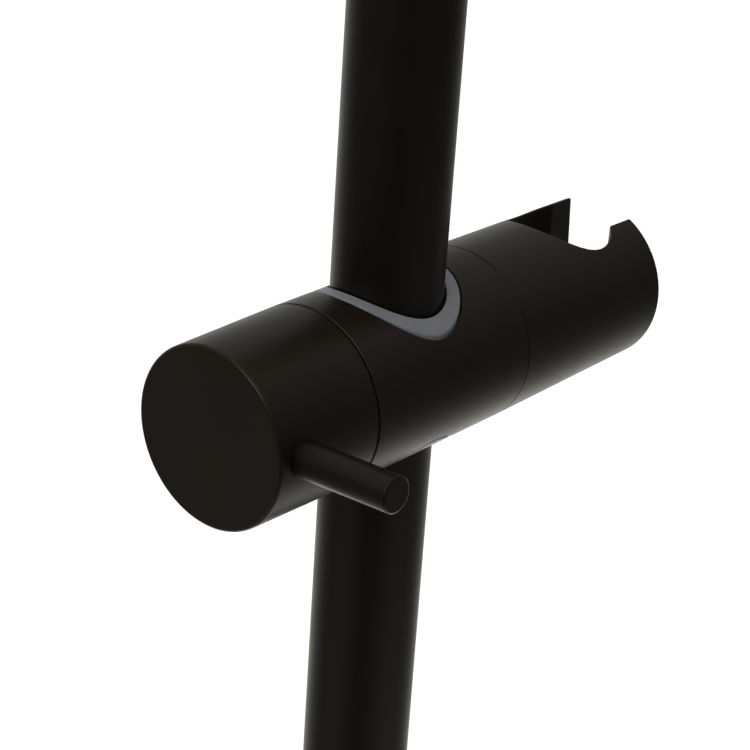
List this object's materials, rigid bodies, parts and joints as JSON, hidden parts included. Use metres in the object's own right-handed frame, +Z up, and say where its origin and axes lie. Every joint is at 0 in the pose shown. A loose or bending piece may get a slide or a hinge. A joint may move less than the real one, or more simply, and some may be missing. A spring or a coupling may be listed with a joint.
{
  "type": "sliding hand shower holder on a riser tube",
  "caption": "Round riser tube with a barrel-shaped sliding holder: a lever knob clamps it, and a tilting end has a tapered open socket for a hand shower.",
  "frame": {"origin": "centre of the riser tube's lower end", "axes": "+Z up along the riser, +X along the barrel towards the handset holder, -Y towards the person in the shower, +Y towards the wall"},
  "size_m": [0.1185, 0.0572, 0.45],
  "materials": {
    "coated_tube": "matt black coating",
    "black_barrel": "fine matt black",
    "coated_lever": "matt black coating",
    "grey_liner": "smooth moulded, half matt",
    "pale_plastic": "natural acetal",
    "bare_brass": "turned",
    "bare_steel": "turned stainless",
    "seal_rubber": "moulded"
  },
  "bodies": {
    "riser": {"riser_tube": "coated_tube"},
    "glide": {"upper_glide_ring": "pale_plastic", "lower_glide_ring": "pale_plastic"},
    "slider": {"body_shell": "black_barrel", "liner": "grey_liner", "guide_bush": "bare_brass", "guide_screws": "bare_steel", "neck_seal": "seal_rubber", "pivot_insert": "bare_brass", "pivot_sleeve": "bare_brass", "pivot_screw": "bare_steel", "pivot_washer": "bare_steel", "disc_springs": "bare_steel", "friction_disc": "pale_plastic"},
    "knob": {"knob_shell": "black_barrel", "lever_pin": "coated_lever", "drive_nut": "bare_brass", "thrust_washer": "pale_plastic", "snap_ring": "bare_steel"},
    "clamp": {"clamp_spindle": "bare_brass", "buffer_disc": "seal_rubber", "brake_pad": "pale_plastic"},
    "holder": {"holder_shell": "black_barrel", "glide_washer": "pale_plastic"}
  },
  "joints": [
    {"name": "slider_slide", "type": "slide", "parent": "riser", "child": "glide", "axis": [0, 0, 1], "range_m": [-0.175, 0.175]},
    {"name": "slider_swivel", "type": "hinge", "parent": "glide", "child": "slider", "pos_m": [0, 0, 0.225], "axis": [0, 0, 1], "continuous": true},
    {"name": "knob_turn", "type": "hinge", "parent": "slider", "child": "knob", "pos_m": [-0.035, 0, 0.225], "axis": [-1, 0, 0], "range_deg": [0, 90]},
    {"name": "clamp_advance", "type": "slide", "parent": "slider", "child": "clamp", "axis": [-1, 0, 0], "range_m": [0, 0.00075]},
    {"name": "holder_tilt", "type": "hinge", "parent": "slider", "child": "holder", "pos_m": [0.0236, 0, 0.225], "axis": [1, 0, 0], "range_deg": [-60, 60]}
  ],
  "couplings": [
    {"joint": "clamp_advance", "follows": "knob_turn", "m_per_rad": 0.0004774}
  ]
}
